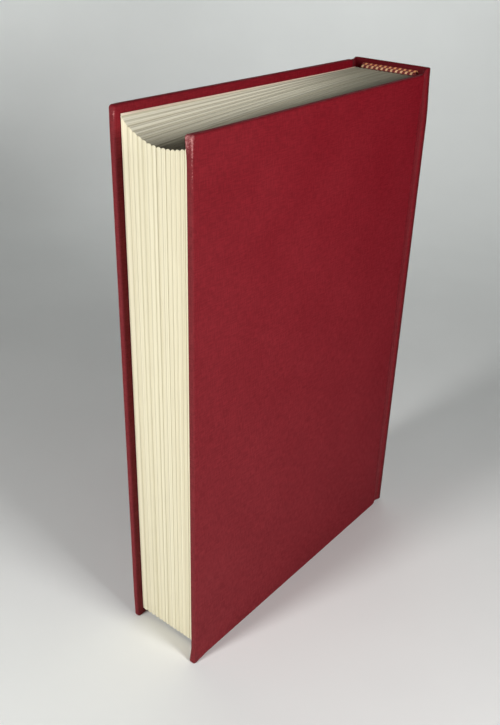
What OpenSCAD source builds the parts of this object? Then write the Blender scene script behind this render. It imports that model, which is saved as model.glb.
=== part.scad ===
// A case-bound hardback book standing closed on its tail.
// X runs through the thickness: front cover at -X, back cover at +X.
// Y runs through the depth: fore-edge at -Y, spine at +Y. Z is the height.

/* [Covers] */
// Height of the covers over the cloth
cover_h = 240; // [160:1:340]
// Width of a cover from its fore-edge to the joint
cover_w = 151.5; // [110:0.5:240]
// Thickness of the grey board
board_t = 2.2; // [1.6:0.1:4]
// Thickness of the book cloth
cloth_t = 0.4; // [0.25:0.05:0.5]
// Width of the cloth turned in over the inner faces
turn_in = 16; // [12:1:25]
// Radius of the covers' fore-edge corners, seen from the side
corner_r = 2; // [1.5:0.5:6]
// Radius of the covers' edges in section
edge_r = 0.9; // [0.6:0.1:1.2]

/* [Joints and spine] */
// From the back board's edge to the outer face of the spine
back_joint_w = 8.5; // [7:0.1:12]
// From the front board's edge to the outer face of the spine
front_joint_w = 5.3; // [4.8:0.1:8.5]
// Depth of the groove pressed into the cloth at a joint
groove_d = 0.9; // [0.3:0.1:1.2]
// Radius of the spine's two long corners
spine_corner_r = 1.5; // [1.2:0.1:2]
// Thickness of the spine's card inlay
inlay_t = 0.7; // [0.4:0.1:1.2]
// Free space between the inlay and the back of the text block
hollow_t = 0.8; // [0.75:0.05:0.95]
// How much the spine stays below the covers' head and above their tail
spine_drop = 0.6; // [0.3:0.1:2]
// Opening left in the cloth at the line where a cover turns
hinge_slit = 0.3; // [0.2:0.1:0.5]
// Distance of the turning line outside the cover's face
hinge_out = 0.1; // [0.1:0.05:0.3]

/* [Text block] */
// Number of sewn gatherings
gathering_count = 16; // [8:1:24]
// Thickness of one gathering
gathering_t = 2.25; // [1.6:0.05:3]
// From the covers' head and tail to the block, at the spine
square = 3.5; // [3:0.5:6]
// From the back cover's fore-edge to the block's fore-edge, at its sides
fore_square = 6.2; // [5:0.1:10]
// How far the fore-edge is hollowed at mid thickness
fore_hollow = 1.3; // [0.5:0.1:4]
// How far the leaves' heads sag at the fore-edge at mid thickness
head_sag = 6.8; // [0.5:0.1:8]
// How far the leaves' tails sag at the fore-edge at mid thickness
tail_sag = 1.8; // [0.3:0.1:2.5]
// Depth of the valley between two gatherings
valley_d = 0.3; // [0.1:0.05:0.5]

/* [Endpapers and linings] */
// Thickness of the endpaper
endpaper_t = 0.2; // [0.15:0.05:0.3]
// Margin of cloth left bare around a pastedown
paste_margin = 3.4; // [2:0.2:6]
// Air between a pastedown and its flyleaf when the cover is shut
closing_gap = 0.1; // [0.1:0.05:0.3]
// Thickness of the gauze over the back of the gatherings
gauze_t = 0.3; // [0.2:0.05:0.3]
// Width of the gauze's edges glued to the boards
flange_w = 28; // [15:1:45]
// From the head and the tail to the gauze's ends
gauze_end = 22; // [18:1:40]
// Thickness of the spine's paper lining
lining_t = 0.2; // [0.15:0.05:0.3]

/* [Bands and sewing] */
// Height of a band's bead above the leaves
bead_h = 2.7; // [2:0.1:2.8]
// Depth of a band's bead from front to back
bead_w = 1.8; // [1.4:0.1:2.4]
// Distance between two stitches of one colour
stitch_pitch = 2.9; // [2.2:0.1:4]
// Radius of the band's thread floats
stitch_r = 0.3; // [0.2:0.05:0.35]
// Height of the band's woven tape behind the block
tape_h = 11; // [6:1:16]
// Thickness of the band's tape
tape_t = 0.25; // [0.15:0.05:0.3]
// Radius of the sewing thread
thread_r = 0.3; // [0.2:0.05:0.4]
// Number of sewing stations
station_count = 6; // [4:1:8]
// From the block's head and tail to the end stations
kettle_d = 14; // [8:1:25]

/* [Hidden] */

$fn = 40;
// A cut runs this far past the face that it opens
past = 1;
// Pieces of one solid share this much at their seams
lap = 0.01;

// Layers outwards from the middle of the book
block_t = gathering_count * gathering_t;
block_side = block_t / 2;
flyleaf_out = block_side + endpaper_t;
paste_in = flyleaf_out + closing_gap;
turn_in_x = paste_in + endpaper_t;
board_in = turn_in_x + cloth_t;
board_out = board_in + board_t;
cover_out = board_out + cloth_t;

// Depth, counted from the back cover's fore-edge and centred at the end
depth = cover_w + back_joint_w;
back_fore = 0;
front_fore = back_joint_w - front_joint_w;
groove_end = depth - spine_corner_r;
inlay_back = depth - cloth_t;
inlay_front = inlay_back - inlay_t;
spine_inner = inlay_front - cloth_t;
lining_back = inlay_front - hollow_t;
gauze_back = lining_back - lining_t;
block_back = gauze_back - gauze_t;

// Heights
block_tail = square;
block_head = cover_h - square;
spine_tail = spine_drop;
spine_head = cover_h - spine_drop;
joint_foot = max(spine_drop, edge_r);
// Radius of the cloth's fold at the spine's head and tail, as a share of its thickness there
fold_share = 0.46;
fold_r = (depth - spine_inner) * fold_share;
// Where a cover turns, as a share of its joint
turn_share = 0.5;

// Layers of a gathering: share of its thickness, and share of the valley's depth that it stands back
leaf_layers = [[1, 1], [0.82, 0.4], [0.55, 0]];
sag_power = 1.5;
swell_power = 0.48;
profile_steps = 12;
groove_steps = 10;
mitre_w = 0.15;
mitre_d = 0.25;
kerf_play = 0.05;

// Bands: two cords wound with thread, the thinner one on top and pressed a little into the other
band_end = 1;
band_l = block_t - 2 * band_end;
lower_cord_h = bead_h * 0.58;
upper_cord_h = bead_h * 0.46;
upper_cord_w = bead_w * 0.8;
cord_round = 0.42;
float_reach = 0.96;
float_sink = 1 / 3;
thread_fn = 16;

// 0 at the block's sides, 1 in the middle of its thickness
function swell(u) = pow(sin(180 * u), swell_power);
// 1 at the fore-edge, 0 at the spine
function sag(t) = pow(1 - t, sag_power);
function fore_y(u) = fore_square + fore_hollow * swell(u);
function head_z(u, t) = block_head - head_sag * swell(u) * sag(t);
function tail_z(u, t) = block_tail - tail_sag * swell(u) * sag(t);

// Outer face of the joint's cloth, s from 0 at the board to 1 at the spine
function groove_x(s) = cover_out - groove_d * (1 - cos(360 * s)) / 2;
function board_edge(fore) = fore + cover_w;
function groove_y(fore, s) = board_edge(fore) + s * (groove_end - board_edge(fore));

// Everything is drawn from the back cover's fore-edge, then centred
module in_place() {
    translate([0, -depth / 2, 0]) children();
}

// Draws a shape of the (Y, Z) plane as thick as w along X, from x
module along_x(x, w) {
    translate([x, 0, 0]) rotate([90, 0, 90]) linear_extrude(w) children();
}

// Draws a shape of the (X, Z) plane as deep as d along Y, from y
module along_y(y, d) {
    translate([0, y + d, 0]) rotate([90, 0, 0]) linear_extrude(d) children();
}

// A box given by two corners
module block_of(low, high) {
    translate(low) cube(high - low);
}

// A rectangle with its corners rounded
module round_rect(low, high, r) {
    union() {
        translate([low.x + r, low.y]) square([high.x - low.x - 2 * r, high.y - low.y]);
        translate([low.x, low.y + r]) square([high.x - low.x, high.y - low.y - 2 * r]);
        for (x = [low.x + r, high.x - r], y = [low.y + r, high.y - r]) {
            translate([x, y]) circle(r);
        }
    }
}

// A rectangle with only the corners at its low-x or low-y side rounded
module half_round_rect(low, high, r, side) {
    reach = 2 * r + past;
    intersection() {
        round_rect(low, high + (side == "x" ? [reach, 0] : [0, reach]), r);
        translate(low) square(high - low);
    }
}

// The slab of a cover at +X: rounded at fore-edge, head and tail, square at the joint.
// An inset of 0 gives the cloth's outside, one cloth thickness gives the board.
module cover_form(fore, inset) {
    x0 = turn_in_x + inset;
    x1 = cover_out - inset;
    y0 = fore + inset;
    y1 = board_edge(fore);
    z0 = inset;
    z1 = cover_h - inset;
    intersection() {
        along_x(x0, x1 - x0) half_round_rect([y0, z0], [y1, z1], corner_r - inset, "x");
        along_y(y0, y1 - y0) round_rect([x0, z0], [x1, z1], edge_r - inset);
        translate([0, 0, z0]) linear_extrude(z1 - z0)
            half_round_rect([x0, y0], [x1, y1], edge_r - inset, "y");
    }
}

// One edge of the gauze, lying on the board
module gauze_flange_form(fore) {
    block_of([board_in, board_edge(fore) - flange_w, gauze_end],
             [board_in + gauze_t, board_edge(fore), cover_h - gauze_end]);
}

module board_form(fore) {
    difference() {
        cover_form(fore, cloth_t);
        gauze_flange_form(fore);
    }
}

// The cloth's cross section over half a joint, from s0 to s1, layer 0 outside and 1 turned in
module joint_strip_2d(fore, s0, s1, layer) {
    run = [for (i = [0:groove_steps]) s0 + (s1 - s0) * i / groove_steps];
    out = layer * cloth_t;
    polygon(concat(
        [for (s = run) [groove_x(s) - out, groove_y(fore, s)]],
        [for (i = [groove_steps:-1:0])
            [groove_x(run[i]) - out - cloth_t, groove_y(fore, run[i])]]
    ));
}

// Half a joint's cloth, doubled where the cloth is turned in at head and tail
module joint_strip(fore, s0, s1) {
    translate([0, 0, joint_foot]) linear_extrude(cover_h - 2 * joint_foot)
        joint_strip_2d(fore, s0, s1, 0);
    for (z = [joint_foot, cover_h - turn_in]) {
        translate([0, 0, z]) linear_extrude(turn_in - joint_foot)
            joint_strip_2d(fore, s0, s1, 1);
    }
}

// How far the slit reaches on each side of the turning line, as a share of the groove
function slit_share(fore) = hinge_slit / 2 / (groove_end - board_edge(fore));

// The 45 degree seam where two turn-ins meet at a fore-edge corner
module mitre(fore, z, up) {
    translate([turn_in_x - past, fore, z]) rotate([up * 45, 0, 0])
        translate([0, corner_r, -mitre_w / 2])
            cube([past + mitre_d, turn_in * sqrt(2) - corner_r, mitre_w]);
}

// Cover cloth: outer skin, three wrapped edges, turn-ins, and its half of the joint
module cover_cloth_form(fore) {
    difference() {
        cover_form(fore, 0);
        cover_form(fore, cloth_t);
        block_of([turn_in_x - past, fore + turn_in, turn_in],
                 [board_in, board_edge(fore) + past, cover_h - turn_in]);
        mitre(fore, 0, 1);
        mitre(fore, cover_h, -1);
    }
    joint_strip(fore, 0, turn_share - slit_share(fore));
    block_of([board_out, board_edge(fore) - edge_r, edge_r],
             [cover_out, board_edge(fore) + lap, cover_h - edge_r]);
}

// Pastedown: it lies over the turn-ins and is pressed down to the board between them
module pastedown_form(fore) {
    hinge_y = groove_y(fore, turn_share) - hinge_slit / 2;
    press_y = board_edge(fore) - cloth_t;
    difference() {
        union() {
            block_of([paste_in, fore + paste_margin, paste_margin],
                     [turn_in_x, hinge_y, cover_h - paste_margin]);
            block_of([paste_in, fore + turn_in, turn_in],
                     [board_in, press_y, cover_h - turn_in]);
        }
        block_of([paste_in - past, fore + turn_in + endpaper_t, turn_in + endpaper_t],
                 [board_in - endpaper_t, press_y - endpaper_t, cover_h - turn_in - endpaper_t]);
    }
}

// Side view of a leaf bundle at share u of the thickness, drawn back by e at its three edges
module leaf_profile(u, e) {
    y0 = fore_y(u) + e;
    run = [for (i = [0:profile_steps]) i / profile_steps];
    polygon(concat(
        [for (t = run) [y0 + t * (block_back - y0), head_z(u, t) - e]],
        [for (i = [profile_steps:-1:0])
            [y0 + run[i] * (block_back - y0), tail_z(u, run[i]) + e]]
    ));
}

module sewing_station_z() {
    span = block_head - block_tail - 2 * kettle_d;
    for (i = [0:station_count - 1]) {
        translate([0, 0, block_tail + kettle_d + span * i / (station_count - 1)]) children();
    }
}

module text_block() {
    kerf = thread_r + kerf_play;
    color("#f1ebcd") in_place() difference() {
        union() {
            for (i = [0:gathering_count - 1], layer = leaf_layers) {
                u = (i + 0.5) / gathering_count;
                w = gathering_t * layer[0];
                seam = w == gathering_t && i < gathering_count - 1 ? lap : 0;
                along_x(u * block_t - block_side - w / 2, w + seam)
                    leaf_profile(u, valley_d * layer[1]);
            }
        }
        sewing_station_z() block_of([-block_side - past, block_back - 2 * kerf, -kerf],
                                    [block_side + past, block_back + past, kerf]);
    }
}

// The thread's runs across the folds, lying in their kerfs
module sewing_thread() {
    color("#ded6c0") in_place() sewing_station_z()
        translate([0, block_back - thread_r - kerf_play, 0]) rotate([0, 90, 0])
            cylinder(r = thread_r, h = block_t, center = true, $fn = thread_fn);
}

module spine_gauze() {
    color("#e6e0d0") in_place()
        block_of([-flyleaf_out, block_back, gauze_end],
                 [flyleaf_out, gauze_back, cover_h - gauze_end]);
}

module spine_lining() {
    color("#b89b72") in_place() difference() {
        block_of([-block_side, block_back, block_tail + valley_d],
                 [block_side, lining_back, block_head - valley_d]);
        block_of([-block_side - past, block_back - past, gauze_end],
                 [block_side + past, gauze_back, cover_h - gauze_end]);
    }
}

// One row of a band: a cord, and gold floats that run down across its face, one each pitch
module band_row(foot, h, w, shift) {
    back = lining_back + tape_t;
    count = floor(band_l / stitch_pitch) - ceil(shift);
    float_l = h * float_reach * sqrt(2) - 2 * stitch_r;
    color("#8a2a2c") along_x(-band_l / 2, band_l)
        round_rect([back - w, foot], [back, foot + h], cord_round * min(w, h));
    color("#e8b27c") for (i = [0:count - 1]) {
        translate([(i + 0.5 - count / 2) * stitch_pitch, back - w + stitch_r * float_sink, foot + h / 2])
            rotate([0, 135, 0])
                cylinder(r = stitch_r, h = float_l, center = true, $fn = thread_fn);
    }
}

// Wound band for the head. It stands on the leaves and its tape hangs behind them.
module band_form() {
    foot = block_head + kerf_play;
    band_row(foot, lower_cord_h, bead_w, 0);
    band_row(foot + bead_h - upper_cord_h, upper_cord_h, upper_cord_w, 0.5);
    color("#8a2a2c") block_of([-band_l / 2, lining_back, block_head - tape_h],
                              [band_l / 2, lining_back + tape_t, foot + bead_h / 2]);
}

module headband() {
    in_place() band_form();
}

module tailband() {
    in_place() translate([0, 0, cover_h]) mirror([0, 0, 1]) band_form();
}

module flyleaf_form() {
    block_of([block_side, fore_square, block_tail], [flyleaf_out, block_back, block_head]);
}

module front_flyleaf() {
    color("#f4eedd") in_place() mirror([1, 0, 0]) flyleaf_form();
}

module back_flyleaf() {
    color("#f4eedd") in_place() flyleaf_form();
}

module spine_inlay() {
    half = cover_out - spine_corner_r;
    color("#a39a8a") in_place()
        block_of([-half, inlay_front, spine_tail + cloth_t],
                 [half, inlay_back, spine_head - cloth_t]);
}

// A long corner of the spine: a quarter ring from the side round to the back
module spine_corner(layer) {
    r = spine_corner_r - layer * cloth_t;
    translate([cover_out - spine_corner_r, groove_end]) intersection() {
        difference() {
            circle(r);
            circle(r - cloth_t);
        }
        square(spine_corner_r + past);
    }
}

// Spine cloth: the back with its fold at head and tail, both corners and the joints' other halves
module spine_cloth() {
    half = cover_out - spine_corner_r;
    color("#7c1a22") in_place() {
        difference() {
            along_x(-half - lap, 2 * (half + lap))
                round_rect([spine_inner, spine_tail], [depth, spine_head], fold_r);
            block_of([-half - past, inlay_front, spine_tail + cloth_t],
                     [half + past, inlay_back, spine_head - cloth_t]);
            block_of([-half - past, spine_inner - past, turn_in],
                     [half + past, inlay_front + lap, cover_h - turn_in]);
        }
        for (side = [0, 1]) mirror([side, 0, 0]) {
            fore = side == 1 ? front_fore : back_fore;
            joint_strip(fore, turn_share + slit_share(fore), 1);
            translate([0, 0, spine_tail + fold_r]) linear_extrude(spine_head - spine_tail - 2 * fold_r)
                spine_corner(0);
        }
    }
}

module front_board() {
    color("#8f8a80") in_place() mirror([1, 0, 0]) board_form(front_fore);
}

module back_board() {
    color("#8f8a80") in_place() board_form(back_fore);
}

module front_cover_cloth() {
    color("#8a1e28") in_place() mirror([1, 0, 0]) cover_cloth_form(front_fore);
}

module back_cover_cloth() {
    color("#8a1e28") in_place() cover_cloth_form(back_fore);
}

module front_gauze_flange() {
    color("#e6e0d0") in_place() mirror([1, 0, 0]) gauze_flange_form(front_fore);
}

module back_gauze_flange() {
    color("#e6e0d0") in_place() gauze_flange_form(back_fore);
}

module front_pastedown() {
    color("#f4eedd") in_place() mirror([1, 0, 0]) pastedown_form(front_fore);
}

module back_pastedown() {
    color("#f4eedd") in_place() pastedown_form(back_fore);
}

text_block();
sewing_thread();
spine_gauze();
spine_lining();
headband();
tailband();
front_flyleaf();
back_flyleaf();
spine_inlay();
spine_cloth();
front_board();
front_cover_cloth();
front_gauze_flange();
front_pastedown();
back_board();
back_cover_cloth();
back_gauze_flange();
back_pastedown();
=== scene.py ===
import math
import random

import bmesh
import bpy
from bmesh.types import BMEdge, BMVert
from mathutils import Matrix, Vector, noise


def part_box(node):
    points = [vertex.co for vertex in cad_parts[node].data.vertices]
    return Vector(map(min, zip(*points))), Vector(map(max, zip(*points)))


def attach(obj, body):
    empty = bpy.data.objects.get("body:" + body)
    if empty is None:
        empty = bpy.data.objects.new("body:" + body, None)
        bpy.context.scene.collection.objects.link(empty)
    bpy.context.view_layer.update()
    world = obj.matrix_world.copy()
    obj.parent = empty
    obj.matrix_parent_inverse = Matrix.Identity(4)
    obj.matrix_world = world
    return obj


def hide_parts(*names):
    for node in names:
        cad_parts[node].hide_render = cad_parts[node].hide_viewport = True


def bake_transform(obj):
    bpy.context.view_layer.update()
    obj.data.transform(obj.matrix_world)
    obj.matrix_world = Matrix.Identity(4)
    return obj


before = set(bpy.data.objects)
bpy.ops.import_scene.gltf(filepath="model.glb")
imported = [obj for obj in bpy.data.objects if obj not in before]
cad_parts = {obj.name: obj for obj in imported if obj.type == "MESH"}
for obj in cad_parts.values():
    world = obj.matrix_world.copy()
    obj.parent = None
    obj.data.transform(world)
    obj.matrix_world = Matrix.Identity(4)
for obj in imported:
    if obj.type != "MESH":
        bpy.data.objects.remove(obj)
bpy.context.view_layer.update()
print("frame loaded:", len(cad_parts), "nodes")

mm = 0.001
midHeight = 0.12  # halfway up the book
gatherings = 16  # sewn sections of leaves
clothThick = 0.4 * mm  # the book cloth, on covers and spine
turnIn = 16 * mm  # how far it is folded over inside
tiny = 1e-6

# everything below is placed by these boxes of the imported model
coverLow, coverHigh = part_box("back_cover_cloth")
frontLow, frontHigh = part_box("front_cover_cloth")
spineLow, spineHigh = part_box("spine_cloth")
blockLow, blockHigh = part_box("text_block")
leafLow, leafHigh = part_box("back_flyleaf")  # the leaves' full size, without their sag
coverMiddle = (abs(coverLow.x) + abs(coverHigh.x)) / 2


# small helpers for materials

def addNode(tree, kind, inputs=None, **settings):
    node = tree.nodes.new(kind)
    for key, value in settings.items():
        setattr(node, key, value)
    for key, value in (inputs or {}).items():
        if isinstance(value, bpy.types.NodeSocket):
            tree.links.new(value, node.inputs[key])
        else:
            node.inputs[key].default_value = value
    return node


def addMath(tree, operation, a, b=0.0, clamp=False):
    return addNode(tree, "ShaderNodeMath", {0: a, 1: b},
                   operation=operation, use_clamp=clamp).outputs[0]


def addSum(tree, *terms, clamp=False):
    # each term is (value, weight)
    parts = [addMath(tree, "MULTIPLY", value, weight) for value, weight in terms]
    total = parts[0]
    for part in parts[1:]:
        total = addMath(tree, "ADD", total, part)
    total.node.use_clamp = clamp
    return total


def addRange(tree, value, fromLow, fromHigh, toLow=0.0, toHigh=1.0, smooth=True):
    return addNode(tree, "ShaderNodeMapRange", {
        "Value": value, "From Min": fromLow, "From Max": fromHigh, "To Min": toLow, "To Max": toHigh,
    }, interpolation_type="SMOOTHSTEP" if smooth else "LINEAR").outputs["Result"]


def addMix(tree, factor, a, b, blend="MIX"):
    return addNode(tree, "ShaderNodeMix", {0: factor, 6: a, 7: b},
                   data_type="RGBA", blend_type=blend).outputs[2]


def addNoise(tree, vector, scale, detail, roughness=0.5):
    # scale is one number, or three to stretch the pattern
    if isinstance(scale, tuple):
        vector = addNode(tree, "ShaderNodeVectorMath", {0: vector, 1: scale},
                         operation="MULTIPLY").outputs[0]
        scale = 1.0
    return addNode(tree, "ShaderNodeTexNoise", {
        "Vector": vector, "Scale": scale, "Detail": detail, "Roughness": roughness}).outputs["Fac"]


def objectPlace(tree):
    return addNode(tree, "ShaderNodeTexCoord").outputs["Object"]


def splitVector(tree, vector):
    return addNode(tree, "ShaderNodeSeparateXYZ", {"Vector": vector}).outputs


def painted(tree, name):
    # a value that the mesh holds at each vertex
    return addNode(tree, "ShaderNodeAttribute", attribute_name=name).outputs["Fac"]


def newGroup(name, inputs, outputs):
    # inputs and outputs hold a kind for each label
    tree = bpy.data.node_groups.new(name, "ShaderNodeTree")
    for way, sockets in (("INPUT", inputs), ("OUTPUT", outputs)):
        for label, kind in sockets.items():
            tree.interface.new_socket(label, in_out=way, socket_type="NodeSocket" + kind)
    entry = tree.nodes.new("NodeGroupInput").outputs
    leave = tree.nodes.new("NodeGroupOutput").inputs
    return tree, entry, leave


def useGroup(tree, group, inputs):
    return addNode(tree, "ShaderNodeGroup", inputs, node_tree=group).outputs


def newMaterial(name, roughness):
    material = bpy.data.materials.new(name)
    material.use_nodes = True
    tree = material.node_tree
    shader = tree.nodes["Principled BSDF"]
    shader.inputs["Roughness"].default_value = roughness
    return material, tree, shader


def finishMaterial(tree, shader, colour, relief, strength, depth):
    tree.links.new(colour, shader.inputs["Base Color"])
    bump = addNode(tree, "ShaderNodeBump", {
        "Strength": strength, "Distance": depth, "Height": relief})
    tree.links.new(bump.outputs[0], shader.inputs["Normal"])


# small helpers for meshes

def smoothStep(value):
    value = min(1.0, max(0.0, value))
    return value * value * (3 - 2 * value)


def pick(geom, kind):
    return [g for g in geom if isinstance(g, kind)]


def facesOn(verts):
    return list(dict.fromkeys(f for v in verts for f in v.link_faces))


def wholeOf(verts):
    return verts + list(dict.fromkeys(e for v in verts for e in v.link_edges)) + facesOn(verts)


def runsAlong(edge, axis):
    return abs(edge.verts[0].co[axis] - edge.verts[1].co[axis]) > tiny


def addBox(bm, low, high):
    verts = bmesh.ops.create_cube(bm, size=1)["verts"]
    bmesh.ops.scale(bm, vec=[b - a for a, b in zip(low, high)], verts=verts)
    bmesh.ops.translate(bm, vec=[(a + b) / 2 for a, b in zip(low, high)], verts=verts)
    return verts


def roundEdges(bm, edges, radius, steps):
    bmesh.ops.bevel(bm, geom=edges, offset=radius, offset_type="OFFSET", segments=steps,
                    profile=0.5, affect="EDGES", material=-1)


def cutRows(bm, axis, places):
    normal = Vector((0, 0, 0))
    normal[axis] = 1
    for place in places:
        bmesh.ops.bisect_plane(bm, geom=bm.verts[:] + bm.edges[:] + bm.faces[:], dist=1e-7,
                               plane_co=normal * place, plane_no=normal)


def paintLayers(bm):
    return [bm.verts.layers.float.new(name) for name in ("rub", "soilAndSheen", "paintedShade")]


def pieceFrom(bm, name, materials, sharpAngle=None, recalc=True):
    if recalc:
        bmesh.ops.recalc_face_normals(bm, faces=bm.faces)
    mesh = bpy.data.meshes.new(name)
    bm.to_mesh(mesh)
    bm.free()
    for material in materials:
        mesh.materials.append(material)
    if sharpAngle is not None:
        mesh.shade_smooth()
        mesh.set_sharp_from_angle(angle=math.radians(sharpAngle))
    piece = bpy.data.objects.new(name, mesh)
    bpy.context.scene.collection.objects.link(piece)
    return piece


def addWall(piece, thickness, offset=0.0):
    wall = piece.modifiers.new("thickness", "SOLIDIFY")
    wall.thickness = thickness
    wall.offset = offset
    return wall


# shared shader groups

weave = {
    "wobbleScale": 260.0,
    "wobble": 0.22 * mm,  # how far a thread wanders
    "under": 0.35,  # its height where it dives under another
    "streaks": ((2200, 250, 0), (220, 2050, 0)),  # thick and thin threads, of warp and weft
}


def makeWeaveGroup():
    # vector in metres on the cloth, height 0 to 1, streaks from uneven threads
    tree, entry, leave = newGroup("plainWeave", {"Vector": "Vector", "Pitch": "Float"},
                                  {"Height": "Float", "Streak": "Float"})
    flat = entry["Vector"]
    turns = addMath(tree, "DIVIDE", math.pi, entry["Pitch"])
    wobble = addNode(tree, "ShaderNodeTexNoise", {
        "Vector": flat, "Scale": weave["wobbleScale"], "Detail": 2.0}).outputs["Color"]
    shift = addNode(tree, "ShaderNodeVectorMath", {0: wobble, 1: (0.5, 0.5, 0.5)},
                    operation="SUBTRACT").outputs[0]
    reach = (weave["wobble"], weave["wobble"], 0)
    moved = addNode(tree, "ShaderNodeVectorMath", {0: shift, 1: reach, 2: flat},
                    operation="MULTIPLY_ADD").outputs[0]
    parts = splitVector(tree, moved)
    waves = []
    for part in (parts["X"], parts["Y"]):
        angle = addMath(tree, "MULTIPLY", part, turns)
        waves.append((addMath(tree, "SINE", angle), addMath(tree, "COSINE", angle)))
    over = addMath(tree, "MULTIPLY", waves[0][1], waves[1][1])
    threads = []
    for (sine, _), top in zip(waves, (0.6, -0.6)):  # the warp is up where the weft is down
        rise = addRange(tree, over, -top, top, weave["under"], 1.0)
        threads.append(addMath(tree, "MULTIPLY", addMath(tree, "ABSOLUTE", sine), rise))
    streaks = [(addNoise(tree, flat, scale, 3.0, 0.6), 0.5) for scale in weave["streaks"]]
    tree.links.new(addMath(tree, "MAXIMUM", *threads), leave["Height"])
    tree.links.new(addSum(tree, *streaks), leave["Streak"])
    return tree


def makeWearGroup():
    # frayed patches: 0 where untouched, 1 where rubbed through, from a rub value on the mesh
    tree, entry, leave = newGroup("edgeWear", {
        "Rub": "Float", "Vector": "Vector", "Scale": "Float", "Softness": "Float"}, {"Mask": "Float"})
    grain = addNoise(tree, entry["Vector"], entry["Scale"], 4.0, 0.65)
    level = addMath(tree, "ADD", addMath(tree, "SUBTRACT", entry["Rub"], 1.0), grain)
    mask = addMath(tree, "DIVIDE", level, entry["Softness"], clamp=True)
    tree.links.new(mask, leave["Mask"])
    return tree


def makeFibreGroup():
    # paper: soft cloudiness, short fibres and a fine tooth
    tree, entry, leave = newGroup("paperFibre", {"Vector": "Vector", "Cloud Scale": "Float"},
                                  {"Tone": "Float", "Height": "Float"})
    cloud = addNoise(tree, entry["Vector"], entry["Cloud Scale"], 5.0)
    fibre = addSum(tree, *[(addNoise(tree, entry["Vector"], scale, 2.0), 0.5)
                           for scale in ((900, 5200, 1500), (5200, 1100, 900))])
    tree.links.new(addSum(tree, (cloud, 0.6), (fibre, 0.4)), leave["Tone"])
    tree.links.new(fibre, leave["Height"])
    return tree


plainWeave = makeWeaveGroup()
edgeWear = makeWearGroup()
paperFibre = makeFibreGroup()
print("shader groups ready")


# materials

bookCloth = {
    "baseCrimson": (0.200, 0.0036, 0.0108, 1),
    # the tone of a painted reflection of the floor, paler and greyer
    "sheenTone": (0.246, 0.0210, 0.0285, 1),
    "sheenDown": 0.2,  # painted reflection of the floor: how much paler it is towards the tail,
    "sheenFore": 0.45,  # towards the fore-edge
    "sheenBoth": 0.35,  # and more where the two meet
    "soilAndSheenTone": (0.150, 0.026, 0.029, 1),  # grey with handling on the boards' edges; also a painted sheen line along the joint
    "soilAndSheenShare": 0.6,
    "worn": (0.62, 0.29, 0.28, 1),  # bare threads where the colour is rubbed off
    "baring": 0.85,
    "frayScale": 1500.0,
    "fraySoftness": 0.32,
    "paintedShade": 0.5,  # how much darker the painted shade makes a turn-in
    "shades": (0.70, 1.27),  # how much the threads' tone varies,
    "fromStreaks": 0.56,  # and what it comes from
    "fromPatches": 0.10,
    "fromWeave": 0.34,
    "pitch": 0.52 * mm,
    "roughness": 0.62,
    "gloss": 0.1,
}


def makeBookClothMaterial():
    material, tree, shader = newMaterial("crimsonBookCloth", bookCloth["roughness"])
    flat = addNode(tree, "ShaderNodeUVMap", uv_map="cloth").outputs["UV"]
    woven = useGroup(tree, plainWeave, {"Vector": flat, "Pitch": bookCloth["pitch"]})
    patches = addNoise(tree, flat, 38.0, 4.0)
    streak = addRange(tree, woven["Streak"], 0.38, 0.62)
    shade = addSum(tree, (streak, bookCloth["fromStreaks"]),
                   (addRange(tree, patches, 0.3, 0.7), bookCloth["fromPatches"]),
                   (woven["Height"], bookCloth["fromWeave"]))
    # painted reflection of the floor: paler and greyer towards the tail and the fore-edge, with random
    # patches
    parts = splitVector(tree, flat)
    foreward = addRange(tree, parts["X"], coverHigh.y, coverLow.y, smooth=False)
    downward = addRange(tree, parts["Y"], coverHigh.z, 0.0, smooth=False)
    foreSheen = addMath(tree, "ADD", addMath(tree, "MULTIPLY", downward, bookCloth["sheenBoth"]),
                       bookCloth["sheenFore"])
    sheen = addSum(tree, (downward, bookCloth["sheenDown"]), (foreward, foreSheen),
                  (addRange(tree, patches, 0.2, 0.8, -0.08, 0.08), 1.0), clamp=True)
    colour = addMix(tree, sheen, bookCloth["baseCrimson"], bookCloth["sheenTone"])
    # soil on the boards' edges, and a painted sheen line along the joint
    soilAndSheen = addMath(tree, "MULTIPLY", painted(tree, "soilAndSheen"), bookCloth["soilAndSheenShare"])
    colour = addMix(tree, soilAndSheen, colour, bookCloth["soilAndSheenTone"])
    shade = addRange(tree, shade, 0.0, 1.0, *bookCloth["shades"], smooth=False)
    # painted shade on the turn-ins and round the spine's arris
    shadeFactor = addRange(tree, painted(tree, "paintedShade"), 0.0, 1.0, 1.0, bookCloth["paintedShade"])
    colour = addMix(tree, 1.0, colour, addMath(tree, "MULTIPLY", shade, shadeFactor), "MULTIPLY")
    fray = useGroup(tree, edgeWear, {
        "Rub": painted(tree, "rub"), "Vector": flat, "Scale": bookCloth["frayScale"],
        "Softness": bookCloth["fraySoftness"]})["Mask"]
    bare = addMath(tree, "MULTIPLY", fray, bookCloth["baring"])
    colour = addMix(tree, bare, colour, bookCloth["worn"])
    rough = bookCloth["roughness"]
    tree.links.new(addRange(tree, streak, 0.0, 1.0, rough + 0.08, rough - 0.06),
                   shader.inputs["Roughness"])
    shader.inputs["Specular IOR Level"].default_value = bookCloth["gloss"]
    relief = addSum(tree, (woven["Height"], 1.0), (woven["Streak"], 1.4))
    finishMaterial(tree, shader, colour, relief, 0.45, 0.08 * mm)
    return material


def makePaperMaterial(name, light, dark, cloudScale=90.0, roughness=0.85, depth=0.02 * mm):
    material, tree, shader = newMaterial(name, roughness)
    fibre = useGroup(tree, paperFibre, {"Vector": objectPlace(tree), "Cloud Scale": cloudScale})
    colour = addMix(tree, addRange(tree, fibre["Tone"], 0.32, 0.66), dark, light)
    finishMaterial(tree, shader, colour, fibre["Height"], 0.35, depth)
    return material


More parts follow.
